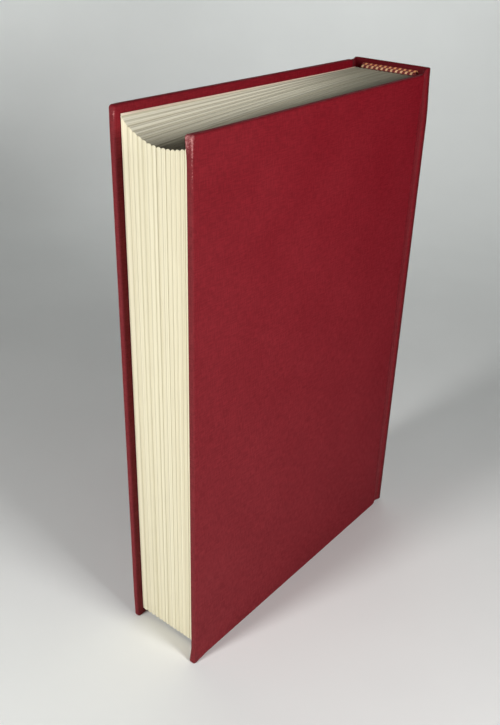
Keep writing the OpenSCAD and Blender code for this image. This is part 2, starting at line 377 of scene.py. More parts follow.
leafPaper = {
    "light": (0.86, 0.81, 0.615, 1),
    "dark": (0.70, 0.64, 0.46, 1),
    # scales across and along, for leaves, bundles of them and gatherings
    "lines": ((5200, 7), (1700, 4), (520, 2)),
    "gap": (0.44, 0.39, 0.26, 1),  # the thin shadow between two gatherings
    "foreGap": 0.36,  # how strong it is at the fore-edge
    "headGap": 0.85,  # and at the head and tail
    "bundleGap": 0.55,  # the same between bundles there
    "litTone": (0.95, 0.93, 0.84, 1),  # painted light on the head and tail, near the front cover
    "litShare": 0.42,
    # painted shadow on the head and tail
    "shadowTone": (0.20, 0.19, 0.145, 1),
    "backShadow": (-12 * mm, 13 * mm, 0.76),  # painted shadow of the back cover: from x, to x, how much there
    "spineShadow": (0.1 * blockHigh.y, blockHigh.y, 0.62),  # the same along y: painted shadow of the spine
}


def makeLeafMaterial():
    # each leaf has its own tone, drawn as lines on the cut edges
    material, tree, shader = newMaterial("creamLeafEdges", 0.88)
    place = objectPlace(tree)
    fine, bundle, broad = [addNoise(tree, place, (across, along, along), 1.0)
                           for across, along in leafPaper["lines"]]
    fibre = useGroup(tree, paperFibre, {"Vector": place, "Cloud Scale": 60.0})
    tone = addSum(tree, (addRange(tree, fine, 0.3, 0.7), 0.3),
                  (addRange(tree, bundle, 0.3, 0.65), 0.32),
                  (addRange(tree, broad, 0.3, 0.7), 0.18), (fibre["Tone"], 0.3), clamp=True)
    colour = addMix(tree, tone, leafPaper["dark"], leafPaper["light"])
    # 0 in the middle of a gathering, 1 between two
    parts = splitVector(tree, place)
    thick = (blockHigh.x - blockLow.x) / gatherings
    phase = addMath(tree, "DIVIDE", addMath(tree, "SUBTRACT", parts["X"], blockLow.x), thick)
    phase = addMath(tree, "MULTIPLY", addMath(tree, "FRACT", phase), 2.0)
    between = addMath(tree, "ABSOLUTE", addMath(tree, "SUBTRACT", phase, 1.0))
    endCut = painted(tree, "endCut")
    gap = addMath(tree, "MULTIPLY", addRange(tree, between, 0.72, 1.0),
                  addRange(tree, fine, 0.2, 0.5, 0.5, 1.0))
    gap = addMath(tree, "MULTIPLY", gap,
                  addRange(tree, endCut, 0.0, 1.0, leafPaper["foreGap"], leafPaper["headGap"]))
    bundleGap = addMath(tree, "MULTIPLY", addRange(tree, bundle, 0.52, 0.36),
                        addMath(tree, "MULTIPLY", endCut, leafPaper["bundleGap"]))
    gap = addMath(tree, "MAXIMUM", gap, bundleGap)
    # painted shadow towards the back cover and the spine, and painted light on the rest of the head and
    # tail
    clear = []
    for part, (start, full, most) in ((parts["X"], leafPaper["backShadow"]),
                                      (parts["Y"], leafPaper["spineShadow"])):
        shadowed = addMath(tree, "MULTIPLY", addRange(tree, part, start, full), most)
        clear.append(addMath(tree, "SUBTRACT", 1.0, shadowed))
    paintedShadow = addMath(tree, "SUBTRACT", 1.0, addMath(tree, "MULTIPLY", *clear))
    litAmount = addMath(tree, "MULTIPLY", addMath(tree, "SUBTRACT", 1.0, paintedShadow),
                    addMath(tree, "MULTIPLY", endCut, leafPaper["litShare"]))
    colour = addMix(tree, litAmount, colour, leafPaper["litTone"])
    colour = addMix(tree, gap, colour, leafPaper["gap"])
    colour = addMix(tree, addMath(tree, "MULTIPLY", paintedShadow, endCut), colour, leafPaper["shadowTone"])
    finishMaterial(tree, shader, colour, fine, 0.4, 0.05 * mm)
    return material


openGauze = {
    "glue": (0.55, 0.47, 0.34, 1),
    "thread": (0.80, 0.77, 0.68, 1),
    "pitch": 1.1 * mm,
}


def makeGauzeMaterial():
    # open cloth stiffened with glue
    material, tree, shader = newMaterial("openGauze", 0.8)
    parts = splitVector(tree, objectPlace(tree))
    across = addMath(tree, "ADD", parts["X"], parts["Y"])
    flat = addNode(tree, "ShaderNodeCombineXYZ", {"X": across, "Y": parts["Z"]}).outputs[0]
    woven = useGroup(tree, plainWeave, {"Vector": flat, "Pitch": openGauze["pitch"]})
    thread = addRange(tree, woven["Height"], 0.55, 0.75)
    colour = addMix(tree, thread, openGauze["glue"], openGauze["thread"])
    finishMaterial(tree, shader, colour, woven["Height"], 0.8, 0.15 * mm)
    return material


def makeSilkMaterial(name, light, dark):
    # twisted thread: fine turns on a slant
    material, tree, shader = newMaterial(name, 0.48)
    place = objectPlace(tree)
    turned = addNode(tree, "ShaderNodeMapping", {
        "Vector": place, "Rotation": (0, 0.7, 0)}).outputs[0]
    twist = addNode(tree, "ShaderNodeTexWave", {
        "Vector": turned, "Scale": 1500.0, "Distortion": 1.5, "Detail": 1.0}).outputs["Fac"]
    tone = addSum(tree, (twist, 0.35), (addNoise(tree, place, 420.0, 2.0), 0.8), clamp=True)
    finishMaterial(tree, shader, addMix(tree, tone, dark, light), twist, 0.5, 0.04 * mm)
    return material


clothMaterial = makeBookClothMaterial()
leafMaterial = makeLeafMaterial()
endpaperMaterial = makePaperMaterial("warmEndpaper", (0.90, 0.72, 0.58, 1), (0.84, 0.66, 0.52, 1))
kraftMaterial = makePaperMaterial("kraftLining", (0.52, 0.36, 0.19, 1), (0.40, 0.26, 0.13, 1),
                                  140.0)
boardMaterial = makePaperMaterial("greyBoard", (0.33, 0.30, 0.26, 1), (0.21, 0.19, 0.16, 1),
                                  220.0, 0.92, 0.06 * mm)
gauzeMaterial = makeGauzeMaterial()
paleSilk = makeSilkMaterial("paleSilk", (0.90, 0.66, 0.40, 1), (0.66, 0.34, 0.15, 1))
goldSilk = makeSilkMaterial("goldSilk", (0.88, 0.44, 0.19, 1), (0.60, 0.22, 0.08, 1))
redSilk = makeSilkMaterial("redSilk", (0.30, 0.035, 0.03, 1), (0.12, 0.010, 0.012, 1))
linenThread = makeSilkMaterial("linenThread", (0.74, 0.69, 0.56, 1), (0.52, 0.46, 0.34, 1))
print("materials ready")


# covers

cover = {
    "cornerRadius": 1.3 * mm,
    "edgeRadius": 0.9 * mm,
    "cornerSteps": 6,
    "edgeSteps": 5,
    "rows": (3, 4.5, 6.5, 9, 12, 16, 22, 32, 48),  # mm from the edges, where vertices are added,
    "jointRows": (1, 4, 12, 40),  # mm from the joint
    "midRows": (0.35, 0.5, 0.65),  # and shares of the height
    "flap": 0.4 * mm,  # cloth over the board's end, at the joint
    # the book has sagged a little, so its covers no longer end level
    "frontRise": 1.8 * mm,
    "backSag": 1.2 * mm,
    "foreRub": 0.46,  # how far the arrises are rubbed at the fore-edge
    "endRub": 0.30,  # and at head and tail
    "rubReach": 0.45 * mm,
    "innerShade": 0.7,  # painted shade on the inner side, less near the head
}


def slab(nodeName, edge, inset):
    # a board with rounded edges, made on the back cover's side, with the inset taken off all round
    low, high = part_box(nodeName)
    inner = min(abs(low.x), abs(high.x)) + inset
    outer = max(abs(low.x), abs(high.x)) - inset
    fore = low.y + inset
    bm = bmesh.new()
    addBox(bm, (inner, fore, low.z + inset), (outer, edge, high.z - inset))
    corners = [e for e in bm.edges if runsAlong(e, 0) and all(v.co.y < fore + tiny for v in e.verts)]
    roundEdges(bm, corners, cover["cornerRadius"] - inset, cover["cornerSteps"])
    rim = [e for e in bm.edges
           if not runsAlong(e, 0) and not all(v.co.y > edge - tiny for v in e.verts)]
    roundEdges(bm, rim, cover["edgeRadius"] - inset, cover["edgeSteps"])
    cutRows(bm, 1, [low.y + row * mm for row in cover["rows"]])
    cutRows(bm, 1, [edge - row * mm for row in cover["jointRows"]])
    cutRows(bm, 2, [low.z + row * mm for row in cover["rows"]])
    cutRows(bm, 2, [high.z - row * mm for row in cover["rows"]])
    cutRows(bm, 2, [low.z + share * (high.z - low.z) for share in cover["midRows"]])
    return bm, inner, outer, low, high


def knockCorners(bm, knocks, rise, floor):
    # each knock dents a corner: (point, reach, push, how far the inner side bulges)
    for vert in bm.verts:
        inside = vert.co.x < coverMiddle
        vert.co.z += rise(vert.co)
        for point, reach, push, bulge in knocks:
            away = Vector((0, vert.co.y - point[1], vert.co.z - point[2])).length
            near = smoothStep(1 - away / reach)
            vert.co += Vector(push) * near
            if inside:
                vert.co.x -= bulge * near
        vert.co.z = max(vert.co.z, floor)


def paintRub(bm, low, high, spots):
    # how far each point was rubbed, soiled or darkened by painted shade, from 0 to 1
    rub, soilAndSheen, paintedShade = paintLayers(bm)
    radius = cover["edgeRadius"]
    outer = max(abs(low.x), abs(high.x))
    inner = min(abs(low.x), abs(high.x))
    for vert in bm.verts:
        fromRim = min(vert.co.y - low.y, vert.co.z - low.z, high.z - vert.co.z)
        fromFace = min(outer - abs(vert.co.x), abs(vert.co.x) - inner)
        fromArris = abs(fromRim - radius * 0.3) + abs(fromFace - radius * 0.3)
        strength = cover["foreRub"] if vert.co.y - low.y < radius else cover["endRub"]
        amount = strength * math.exp(-fromArris / cover["rubReach"])
        for point, reach, strength in spots:
            away = (vert.co - Vector(point)).length / reach
            amount += strength * math.exp(-away * away)
        vert[rub] = min(1.0, amount)
        vert[soilAndSheen] = smoothStep(1 - (vert.co.y - low.y) / (1.1 * radius))
        # painted shade on the board's inner side, where the leaves shade it
        vert[paintedShade] = (cover["innerShade"] * smoothStep(1 - (abs(vert.co.x) - inner) / mm)
                        * smoothStep((high.z - vert.co.z - 2 * mm) / (10 * mm)))


def uvByFace(bm):
    # flat cloth coordinates in metres, by the way each face looks
    layer = bm.loops.layers.uv.new("cloth")
    for face in bm.faces:
        face.normal_update()
        n = face.normal
        for loop in face.loops:
            p = loop.vert.co
            if abs(n.x) >= max(abs(n.y), abs(n.z)):
                loop[layer].uv = (p.y, p.z)
            elif abs(n.y) >= abs(n.z):
                loop[layer].uv = (p.x + 0.3, p.z)
            else:
                loop[layer].uv = (p.y, p.x + 0.4)


def makeCover(name, body, side, clothNode, boardNode, knocks, spots, rise):
    # side is +1 for the back cover and -1 for the front one
    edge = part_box(boardNode)[1].y

    # cloth: the slab's skin without the window inside and the end between the turn-ins
    bm, inner, outer, low, high = slab(clothNode, edge, 0.0)

    def inWindow(point):
        return point.y > low.y + turnIn and low.z + turnIn < point.z < high.z - turnIn

    gone = [f for f in bm.faces if inWindow(f.calc_center_median())
            and (f.normal.x < -0.99 or f.normal.y > 0.99)]
    bmesh.ops.delete(bm, geom=gone, context="FACES")
    for vert in {v for f in bm.faces if f.normal.y > 0.99 for v in f.verts}:
        if vert.co.x < outer - 0.5 * cover["edgeRadius"]:
            vert.co.y += cover["flap"]
    knockCorners(bm, knocks, rise, low.z)
    paintRub(bm, low, high, spots)
    bmesh.ops.scale(bm, vec=(side, 1, 1), verts=bm.verts)
    bmesh.ops.recalc_face_normals(bm, faces=bm.faces)
    if side * sum(f.normal.x * f.calc_area() for f in bm.faces) < 0:
        bmesh.ops.reverse_faces(bm, faces=bm.faces)
    uvByFace(bm)
    cloth = pieceFrom(bm, name + "Cloth", [clothMaterial], 40, recalc=False)
    addWall(cloth, clothThick, -1).use_even_offset = True
    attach(cloth, body)
    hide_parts(clothNode)

    # board inside it
    bm, inner, outer, low, high = slab(clothNode, edge, clothThick)
    knockCorners(bm, knocks, rise, low.z + clothThick)
    bmesh.ops.scale(bm, vec=(side, 1, 1), verts=bm.verts)
    board = pieceFrom(bm, name + "Board", [boardMaterial], 40)
    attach(board, body)
    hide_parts(boardNode)


def frontRise(point):
    # all of it at the head's fore-edge corner, nothing at tail and joint
    fore = (frontHigh.y - point.y) / (frontHigh.y - frontLow.y)
    return cover["frontRise"] * min(1, max(0, fore)) * max(0, point.z) / coverHigh.z


def backRise(point):
    return -cover["backSag"] * max(0, point.z) / coverHigh.z


makeCover(
    "BackCover", "back_cover", 1, "back_cover_cloth", "back_board",
    knocks=[
        ((0, coverLow.y, coverHigh.z), 11 * mm, (-0.2 * mm, 0.1 * mm, 0), 0.7 * mm),
        ((0, coverLow.y, coverLow.z), 8 * mm, (0.3 * mm, -1.2 * mm, -0.5 * mm), 0.3 * mm),
    ],
    spots=[  # where it is rubbed: (point, reach, strength)
        ((coverMiddle, coverLow.y + 0.6 * mm, coverHigh.z - 1.0 * mm), 3.4 * mm, 0.40),
        ((coverMiddle, coverLow.y, coverHigh.z - 6 * mm), 4 * mm, 0.28),
        ((coverMiddle, coverLow.y, coverHigh.z - 14 * mm), 6 * mm, 0.22),
        ((coverHigh.x, coverLow.y + 8 * mm, coverHigh.z), 7 * mm, 0.25),
        ((coverMiddle, coverLow.y, coverLow.z), 4 * mm, 0.25),
    ],
    rise=backRise)
makeCover(
    "FrontCover", "front_cover", -1, "front_cover_cloth", "front_board",
    knocks=[
        ((0, frontLow.y, frontHigh.z), 5 * mm, (0, 0.15 * mm, -0.15 * mm), 0.2 * mm),
        ((0, frontLow.y, frontLow.z), 14 * mm, (-0.3 * mm, 0, -0.5 * mm), 0),
    ],
    spots=[
        ((coverMiddle, frontLow.y + 0.6 * mm, frontHigh.z - 0.6 * mm), 3 * mm, 0.42),
        ((coverMiddle, frontLow.y, frontLow.z), 3 * mm, 0.25),
    ],
    rise=frontRise)
print("covers ready")


# spine and joints: one sheet folded over at head and tail, cut in three where a body ends

spine = {
    "cornerRadius": 1.5 * mm,
    "card": 0.7 * mm,  # between the outer layer and the turn-in
    "headRise": 1.5 * mm,  # how far the head stands up over the covers' ends
    "headNarrow": (2.0 * mm, 1.2 * mm),  # how far its front and back sides are drawn in there
    "grooveDepth": 0.9 * mm,
    "grooveSteps": 16,
    "cornerSteps": 6,
    "backSteps": 30,
    "foldSteps": 8,
    "turnInRows": 6,
    "rows": 40,
    "arrisShade": 0.7,  # painted shade: the cloth is darker round the arris,
    "arrisReach": 3.3 * mm,  # as far as this from the back
    "arrisRub": 0.26,
    "endRub": 0.34,
    "cornerRub": 0.16,
    "ridgeRub": 0.24,  # on the ridge between spine and joint
    "jointEndRub": 0.30,
    "grooveSheen": 0.8,  # painted sheen: a paler, greyer line in the joint
    "grooveSheenPlace": 2.3 * mm,  # how far it lies from the ridge
}


def groovePath(edge, side):
    # the outer layer's middle line and the turn-in's, from the spine's corner to the board
    half = clothThick / 2
    start = spineHigh.y - spine["cornerRadius"]
    path = []
    for i in range(spine["grooveSteps"] + 1):
        share = i / spine["grooveSteps"]
        dip = spine["grooveDepth"] * (1 - math.cos(2 * math.pi * share)) / 2
        y = start + share * (edge - start)
        path.append((Vector((side * (coverHigh.x - half - dip), y)),
                     Vector((side * (coverHigh.x - 3 * half - dip), y))))
    return path


def spinePath():
    # from the corner at +X round the back to the corner at -X
    half = clothThick / 2
    radius = spine["cornerRadius"]
    centre = Vector((coverHigh.x - radius, spineHigh.y - radius))
    innerY = spineHigh.y - 3 * half - spine["card"]
    start = Vector((coverHigh.x - 3 * half, centre.y))
    end = Vector((centre.x - 0.2 * mm, innerY))
    corner = []
    for i in range(spine["cornerSteps"] + 1):
        share = i / spine["cornerSteps"]
        angle = share * math.pi / 2
        outer = centre + Vector((math.cos(angle), math.sin(angle))) * (radius - half)
        corner.append((outer, start.lerp(end, smoothStep(share))))
    back = []
    for i in range(1, spine["backSteps"]):
        x = centre.x * (1 - 2 * i / spine["backSteps"])
        back.append((Vector((x, spineHigh.y - half)), Vector((x * 0.99, innerY))))
    other = [(Vector((-a.x, a.y)), Vector((-b.x, b.y))) for a, b in reversed(corner)]
    return corner + back + other


def foldedSheet(path, low, high):
    # a flat grid folded into place: its columns follow the path, its rows go up the outer layer and
    # over at head and tail into the turn-ins. A row is (height, 0 outer to 1 inner, rise of the fold)
    count, last = spine["rows"], spine["turnInRows"]
    turns = [math.pi * i / spine["foldSteps"] for i in range(spine["foldSteps"] + 1)]
    rows = [(low + turnIn * (1 - i / last), 1.0, 0.0) for i in range(last)]
    rows += [(low, 1 - (1 - math.cos(turn)) / 2, -math.sin(turn)) for turn in turns]
    rows += [(low + (high - low) * (i / count), 0.0, 0.0) for i in range(1, count)]
    rows += [(high, (1 - math.cos(turn)) / 2, math.sin(turn)) for turn in turns]
    rows += [(high - turnIn * i / last, 1.0, 0.0) for i in range(1, last + 1)]
    across = [0.0]
    for (a, _), (b, _) in zip(path, path[1:]):
        across.append(across[-1] + (b - a).length)
    bm = bmesh.new()
    bmesh.ops.create_grid(bm, x_segments=len(path) - 1, y_segments=len(rows) - 1, size=0.5)
    uv = bm.loops.layers.uv.new("cloth")
    layers = paintLayers(bm)
    for vert in bm.verts:
        column = round((vert.co.x + 0.5) * (len(path) - 1))
        row = round((vert.co.y + 0.5) * (len(rows) - 1))
        outer, inner = path[column]
        height, share, rise = rows[row]
        # painted shade: full on the turn-in layer, none on the outer one
        vert[layers[2]] = share
        bend = (outer - inner).length / 2
        inset = bend + clothThick / 2
        z = height
        if abs(rise) > 0 or height in (low, high):
            z = min(max(height, low + inset), high - inset)
        point = outer.lerp(inner, share)
        vert.co = (point.x, point.y, z + rise * bend)
        along = height
        if share >= 0.5:  # a turn-in goes on past the fold
            along = 2 * (high if height > (low + high) / 2 else low) - height
        for loop in vert.link_loops:
            loop[uv].uv = (across[column], along)
    return bm, *layers


def outwards(bm):
    # the outer layer's faces look away from the middle of the book
    middle = Vector((0, (blockLow.y + blockHigh.y) / 2, midHeight))
    if sum((f.calc_center_median() - middle).dot(f.normal) * f.calc_area() for f in bm.faces) < 0:
        bmesh.ops.reverse_faces(bm, faces=bm.faces)


def shapeHead(vert, near):
    # the head is drawn in and lifted; near is 1 on the spine and falls to 0 at a board's end
    height = vert.co.z / spineHigh.z
    share = near * smoothStep((height - 0.9) / 0.1)
    vert.co.x -= spine["headNarrow"][int(vert.co.x > 0)] * vert.co.x / coverHigh.x * share
    vert.co.z += spine["headRise"] * smoothStep((height - 0.5) / 0.35) * near


def arrisShade(y):
    return spine["arrisShade"] * smoothStep((y - spineHigh.y + spine["arrisReach"]) / mm)


def makeSpineCloth():
    bm, rub, soilAndSheen, paintedShade = foldedSheet(spinePath(), spineLow.z, spineHigh.z)
    for vert in bm.verts:
        # painted shade round the arris
        if abs(vert.co.x) > coverHigh.x - 1.2 * mm:
            vert[paintedShade] = max(vert[paintedShade], arrisShade(vert.co.y))
        shapeHead(vert, 1)
        arris = (abs(abs(vert.co.x) - (coverHigh.x - 0.3 * mm))
                 + abs(vert.co.y - (spineHigh.y - 0.4 * mm)))
        end = min(vert.co.z - spineLow.z, spineHigh.z + spine["headRise"] - vert.co.z)
        vert[rub] = (spine["arrisRub"] * math.exp(-arris / (0.9 * mm))
                     + spine["endRub"] * math.exp(-end / (0.6 * mm)))
        if abs(vert.co.x) > 15 * mm:
            vert[rub] += spine["cornerRub"] * math.exp(-end / (2.5 * mm))
    outwards(bm)
    cloth = pieceFrom(bm, "SpineCloth", [clothMaterial], 50, recalc=False)
    addWall(cloth, clothThick)
    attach(cloth, "block")
    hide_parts("spine_cloth")
    return cloth


def makeJointCloth(name, side, boardNode):
    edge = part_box(boardNode)[1].y
    bm, rub, soilAndSheen, paintedShade = foldedSheet(groovePath(edge, side), spineLow.z, spineHigh.z)
    ridge = spineHigh.y - spine["cornerRadius"] - 0.6 * mm
    for vert in bm.verts:
        near = min(1, max(0, (vert.co.y - edge) / (ridge - edge)))
        shapeHead(vert, near)
        end = min(vert.co.z - spineLow.z, spineHigh.z + spine["headRise"] * near - vert.co.z)
        vert[rub] = (spine["ridgeRub"] * math.exp(-abs(vert.co.y - ridge) / (0.5 * mm))
                     + spine["jointEndRub"] * math.exp(-end / (0.6 * mm)))
        # painted sheen: a paler line along the joint
        fromLine = (vert.co.y - ridge + spine["grooveSheenPlace"]) / mm
        vert[soilAndSheen] = spine["grooveSheen"] * math.exp(-fromLine ** 2)
        # painted shade round the arris
        vert[paintedShade] = max(vert[paintedShade], arrisShade(vert.co.y))
    outwards(bm)
    cloth = pieceFrom(bm, name, [clothMaterial], 50, recalc=False)
    addWall(cloth, clothThick)
    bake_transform(cloth)
    return cloth


def makeSpineCard():
    low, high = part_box("spine_inlay")
    bm = bmesh.new()
    addBox(bm, low, high)
    roundEdges(bm, [e for e in bm.edges if runsAlong(e, 2)], 0.15 * mm, 2)
    cutRows(bm, 2, [low.z + (high.z - low.z) * i / 16 for i in range(1, 16)])
    for vert in bm.verts:
        shapeHead(vert, 1)
    card = pieceFrom(bm, "SpineCard", [boardMaterial], 50)
    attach(card, "block")
    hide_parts("spine_inlay")
    return card


spineCard = makeSpineCard()
spineCloth = makeSpineCloth()
jointCloths = [makeJointCloth("BackJointCloth", 1, "back_board"),
               makeJointCloth("FrontJointCloth", -1, "front_board")]
print("spine and joints ready")


# text block: one long grid, two rows to each leaf

leaves = {
    "leavesEach": 16,
    "leafFill": 0.92,  # how much of its share of the thickness a leaf takes up
    "foreHollow": 1.3 * mm,
    "headSag": 6.8 * mm,
    "tailSag": 1.8 * mm,
    "headValley": 0.5 * mm,  # how far a gathering's outer leaves stand back at head and tail
    "headValleyPower": 2,  # and how steeply
    "foreValley": 0.16 * mm,  # the same at the fore-edge
    "foreValleyPower": 5,
    "stray": 0.07 * mm,  # how unevenly the leaves are cut,
    "oddShare": 0.06,  # how many of them stand out more
    "oddStray": 2.6,  # and how much more
    "wander": 0.06 * mm,
    "swellPower": 0.48,
    "sagPower": 1.5,
    "headSteps": 14,
    "foreSteps": 36,
    "arris": 0.998,  # the last step before an arris, which keeps it crisp
    "seed": 7,
}


def makeTextBlock():
    random.seed(leaves["seed"])
    count = gatherings * leaves["leavesEach"]
    thick = (blockHigh.x - blockLow.x) / count
    headSteps, foreSteps = leaves["headSteps"], leaves["foreSteps"]
    # the ring: head from spine to fore-edge, fore-edge downwards, tail back to the spine
    ring = [("head", i / headSteps) for i in range(headSteps)] + [("head", leaves["arris"])]
    ring += [("fore", i / foreSteps) for i in range(foreSteps + 1)]
    ring += [("tail", leaves["arris"])]
    ring += [("tail", 1 - i / headSteps) for i in range(1, headSteps + 1)]

    def ringPoint(kind, share, u, headBack, foreBack):
        swell = math.sin(math.pi * min(1, max(0, u))) ** leaves["swellPower"]
        foreY = leafLow.y + leaves["foreHollow"] * swell + foreBack
        run = share if kind != "fore" else 1.0
        y = blockHigh.y + (foreY - blockHigh.y) * run
        sag = swell * run ** leaves["sagPower"]
        lift = cover["frontRise"] * max(0, 1 - 3 * u) * run
        head = leafHigh.z - leaves["headSag"] * sag - headBack + lift
        tail = leafLow.z - leaves["tailSag"] * sag + headBack
        return y, {"head": head, "tail": tail, "fore": head + (tail - head) * share}[kind]

    strays = [random.uniform(-1, 1) * leaves["stray"] for _ in range(count)]
    strays = [s * (leaves["oddStray"] if random.random() < leaves["oddShare"] else 1)
              for s in strays]
    bm = bmesh.new()
    rows = 2 * count
    bmesh.ops.create_grid(bm, x_segments=rows - 1, y_segments=len(ring) - 1, size=0.5)
    ends = {0: set(), len(ring) - 1: set()}  # the open ends, at head and tail
    cut = bm.verts.layers.float.new("endCut")
    for vert in bm.verts:
        row = round((vert.co.x + 0.5) * (rows - 1))
        step = round((vert.co.y + 0.5) * (len(ring) - 1))
        leaf = row // 2
        isLast = row == rows - 1
        x = blockLow.x + (leaf + row % 2 * (1 if isLast else leaves["leafFill"])) * thick
        within = 1.0 if isLast else (x - blockLow.x) / (leaves["leavesEach"] * thick) % 1
        fromMiddle = abs(2 * within - 1)
        kind, share = ring[step]
        valley = leaves["headValley"] * (0.7 + 0.5 * (1 if kind == "fore" else share))
        wander = noise.noise(Vector((leaf * 0.9, share * 3.1, 4.0 if kind == "fore" else 1.0)))
        stray = strays[leaf] + wander * leaves["wander"]
        y, z = ringPoint(
            kind, share, (x - blockLow.x) / (blockHigh.x - blockLow.x),
            max(0.0, valley * fromMiddle ** leaves["headValleyPower"] + stray),
            max(0.0, leaves["foreValley"] * fromMiddle ** leaves["foreValleyPower"] + stray))
        vert.co = (x, y, z)
        vert[cut] = 0.0 if kind == "fore" else 1.0
        if step in ends:
            ends[step].add(vert)
    # the back is bridged from head to tail and the two sides are filled
    backEdges = [e for e in bm.edges
                 if e.is_boundary and any(end.issuperset(e.verts) for end in ends.values())]
    bmesh.ops.bridge_loops(bm, edges=backEdges)
    bmesh.ops.holes_fill(bm, edges=[e for e in bm.edges if e.is_boundary], sides=0)
    block = pieceFrom(bm, "LeafBlock", [leafMaterial])
    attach(block, "block")
    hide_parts("text_block")


makeTextBlock()
print("text block ready")


# head and tail bands: silk wound over two cores, in two colours

band = {
    "length": 28.5 * mm,
    "pitches": 11,  # times that the two colours repeat
    "threadsEach": 7,  # windings in one pitch
    "goldThreads": 3,
    "lowerRadius": 0.74 * mm,
    "upperRadius": 0.46 * mm,
    "core": 0.86,  # the core's share of the wound radius
    "threadWidth": 0.56,  # a thread's radius, as a share of its place
    "threadSides": 6,
    "turnSteps": 12,
    "start": 205,  # where a winding starts round its core, in degrees
    "turn": 235,  # how far it goes round
    "slant": 0.95 * mm,  # how far it leans over that turn
    "setBack": 0.1 * mm,
    "tapeHeight": 10.5 * mm,
    "tapeThickness": 0.25 * mm,
}


def windCore(bm, centre, radius, offset, colour):
    # a core along X. Each winding is a small ring spun round it on a slant, and a pitch of them repeats
    length = band["length"]
    turned = Matrix.Rotation(math.pi / 2, 4, "Y")
    rod = bmesh.ops.create_cone(bm, cap_ends=True, segments=16, radius1=radius * band["core"],
                                radius2=radius * band["core"], depth=length, matrix=turned)["verts"]
    bmesh.ops.translate(bm, vec=centre, verts=rod)
    for face in facesOn(rod):
        face.material_index = 1
    pitch = length / band["pitches"]
    each = pitch / band["threadsEach"]
    begin = Matrix.Rotation(math.radians(band["start"]), 3, "X")
    first = set(bm.verts)
    for i in range(band["threadsEach"]):
        gold = (i + offset) % band["threadsEach"] < band["goldThreads"]
        before = set(bm.faces)
        ring = bmesh.ops.create_circle(bm, cap_ends=True, radius=each * band["threadWidth"],
                                       segments=band["threadSides"],
                                       matrix=Matrix.Rotation(math.pi / 2, 4, "Z"))["verts"]
        bmesh.ops.translate(bm, vec=(0, radius * band["core"], 0), verts=ring)
        bmesh.ops.rotate(bm, cent=(0, 0, 0), matrix=begin, verts=ring)
        x = -length / 2 + (i + 0.5) * each - band["slant"] / 2
        bmesh.ops.translate(bm, vec=centre + Vector((x, 0, 0)), verts=ring)
        bmesh.ops.spin(bm, geom=wholeOf(ring), cent=centre, axis=(1, 0, 0),
                       dvec=(band["slant"] / band["turnSteps"], 0, 0),
                       angle=-math.radians(band["turn"]), steps=band["turnSteps"],
                       use_duplicate=False)
        for face in set(bm.faces) - before:
            face.material_index = colour if gold else 1
    onePitch = wholeOf([v for v in bm.verts if v not in first])
    for k in range(1, band["pitches"]):
        copy = bmesh.ops.duplicate(bm, geom=onePitch)["geom"]
        bmesh.ops.translate(bm, vec=(k * pitch, 0, 0), verts=pick(copy, BMVert))


def makeBand(name, node, up):
    # up is +1 at the head and -1 at the tail
    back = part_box(node)[1].y
    foot = leafHigh.z if up > 0 else leafLow.z
    lower, upper = band["lowerRadius"], band["upperRadius"]
    bm = bmesh.new()
    windCore(bm, Vector((0, back - lower - band["setBack"], foot + up * lower)), lower, 0, 0)
    windCore(bm, Vector((0, back - upper - band["setBack"],
                         foot + up * (2 * lower + upper * band["core"]))),
             upper, band["threadsEach"] // 2, 2)
    half = band["length"] / 2
    levels = sorted((foot, foot - up * band["tapeHeight"]))
    tape = addBox(bm, (-half, back - band["tapeThickness"], levels[0]), (half, back, levels[1]))
    for face in facesOn(tape):
        face.material_index = 1
    piece = pieceFrom(bm, name, [paleSilk, redSilk, goldSilk], 50)
    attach(piece, "block")
    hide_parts(node)


makeBand("Headband", "headband", 1)
makeBand("Tailband", "tailband", -1)
print("bands ready")


# endpaper folds: the paper between flyleaf and pastedown, pressed into the joint

fold = {
    "thickness": 0.2 * mm,
    "depth": 0.4 * mm,  # how far the paper goes into the joint
    "stand": 0.25 * mm,  # the front flyleaf's fore corner, over the leaves there
    "steps": 14,
    "rows": 24,
    "flyleafSteps": 16,
}


def makeEndpaperFold(name, side, flyleafNode, pastedownNode):
    flyLow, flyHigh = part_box(flyleafNode)
    pasteLow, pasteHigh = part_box(pastedownNode)
    flyX = max(abs(flyLow.x), abs(flyHigh.x)) - fold["thickness"] / 2
    pasteX = min(abs(pasteLow.x), abs(pasteHigh.x)) + fold["thickness"] / 2
    start = Vector((flyX, flyHigh.y))
    end = Vector((pasteX, pasteHigh.y))
    bm = bmesh.new()
    bmesh.ops.create_grid(bm, x_segments=fold["steps"], y_segments=fold["rows"], size=0.5)
    for vert in bm.verts:
        share = vert.co.x + 0.5
        x = start.x + (end.x - start.x) * share + fold["depth"] * math.sin(math.pi * share)
        y = start.y + (end.y - start.y) * share
        z = flyLow.z + (flyHigh.z - flyLow.z) * (vert.co.y + 0.5)
        vert.co = (side * x, y, z)
    piece = pieceFrom(bm, name, [endpaperMaterial], 60)
    addWall(piece, fold["thickness"])
    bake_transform(piece)


def makeFrontFlyleaf():
    # it follows the leaves' rise and stands a little above them
    low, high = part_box("front_flyleaf")
    most = cover["frontRise"] + fold["stand"]
    bm = bmesh.new()
    bmesh.ops.create_grid(bm, x_segments=fold["flyleafSteps"], y_segments=fold["rows"], size=0.5)
    for vert in bm.verts:
        run, up = 0.5 - vert.co.x, vert.co.y + 0.5
        z = low.z + (high.z - low.z + most * run) * up
        vert.co = ((low.x + high.x) / 2, high.y + (low.y - high.y) * run, z)
    piece = pieceFrom(bm, "FrontFlyleaf", [endpaperMaterial], 60)
    addWall(piece, high.x - low.x)
    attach(piece, "block")
    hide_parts("front_flyleaf")


makeFrontFlyleaf()
makeEndpaperFold("BackEndpaperFold", 1, "back_flyleaf", "back_pastedown")
makeEndpaperFold("FrontEndpaperFold", -1, "front_flyleaf", "front_pastedown")
print("endpapers ready")


# finishes of the CAD pieces that stay

